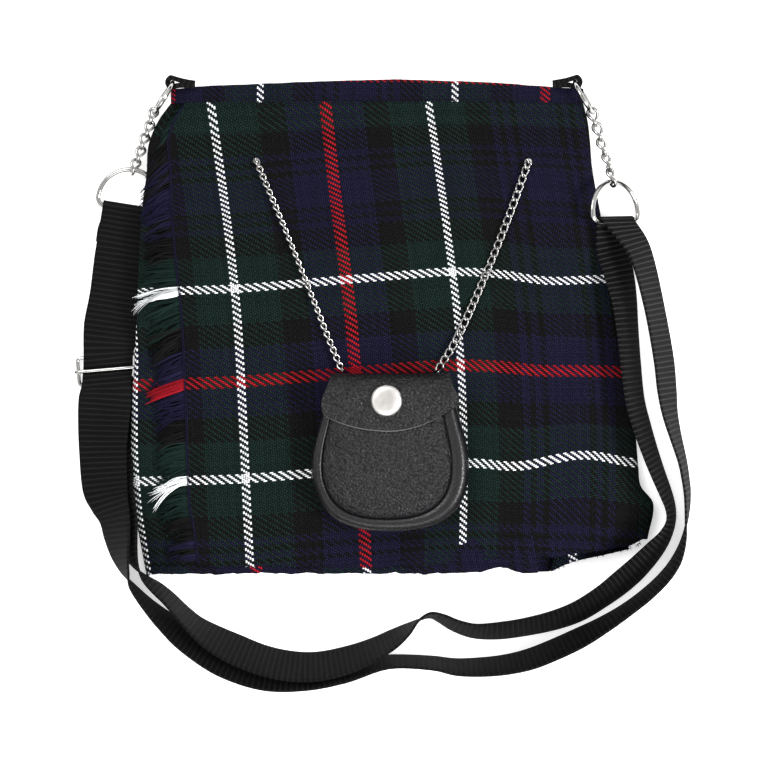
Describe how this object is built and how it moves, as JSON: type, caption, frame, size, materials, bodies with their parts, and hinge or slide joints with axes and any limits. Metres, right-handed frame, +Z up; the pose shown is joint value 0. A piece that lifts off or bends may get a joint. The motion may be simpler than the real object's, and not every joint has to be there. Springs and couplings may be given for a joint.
{
  "type": "kilt-shaped shoulder handbag",
  "caption": "Tartan shoulder bag shaped like a small kilt, with a leather purse on chains and a webbing strap, lying on its back.",
  "frame": {"origin": "on the surface that the bag lies on, on the flat back of the middle pleat, under the middle of the front", "axes": "+X to the right of the front, +Y from the hem to the waistband, +Z up, out of the front of the bag"},
  "size_m": [0.3382, 0.3351, 0.0485],
  "materials": {
    "tartan": "matte woollen twill",
    "pouch_cloth": "matte",
    "webbing": "ribbed webbing",
    "leather": "fine grain, satin",
    "nickel": "polished nickel"
  },
  "bodies": {
    "root": {"apron": "tartan", "under_apron": "tartan", "pleats": "tartan", "fringe": "tartan", "waistband": "tartan", "pouch": "pouch_cloth", "tab_left": "webbing", "tab_right": "webbing", "corner_ring_left": "nickel", "corner_ring_right": "nickel", "chain_left": "nickel", "chain_right": "nickel", "strap_ring_left": "nickel", "strap_ring_right": "nickel", "strap": "webbing", "slide": "nickel", "sporran_body": "leather", "sporran_panel": "leather", "sporran_flap": "leather", "snap_cap": "nickel", "sporran_chain_left": "nickel", "sporran_chain_right": "nickel"}
  },
  "joints": []
}
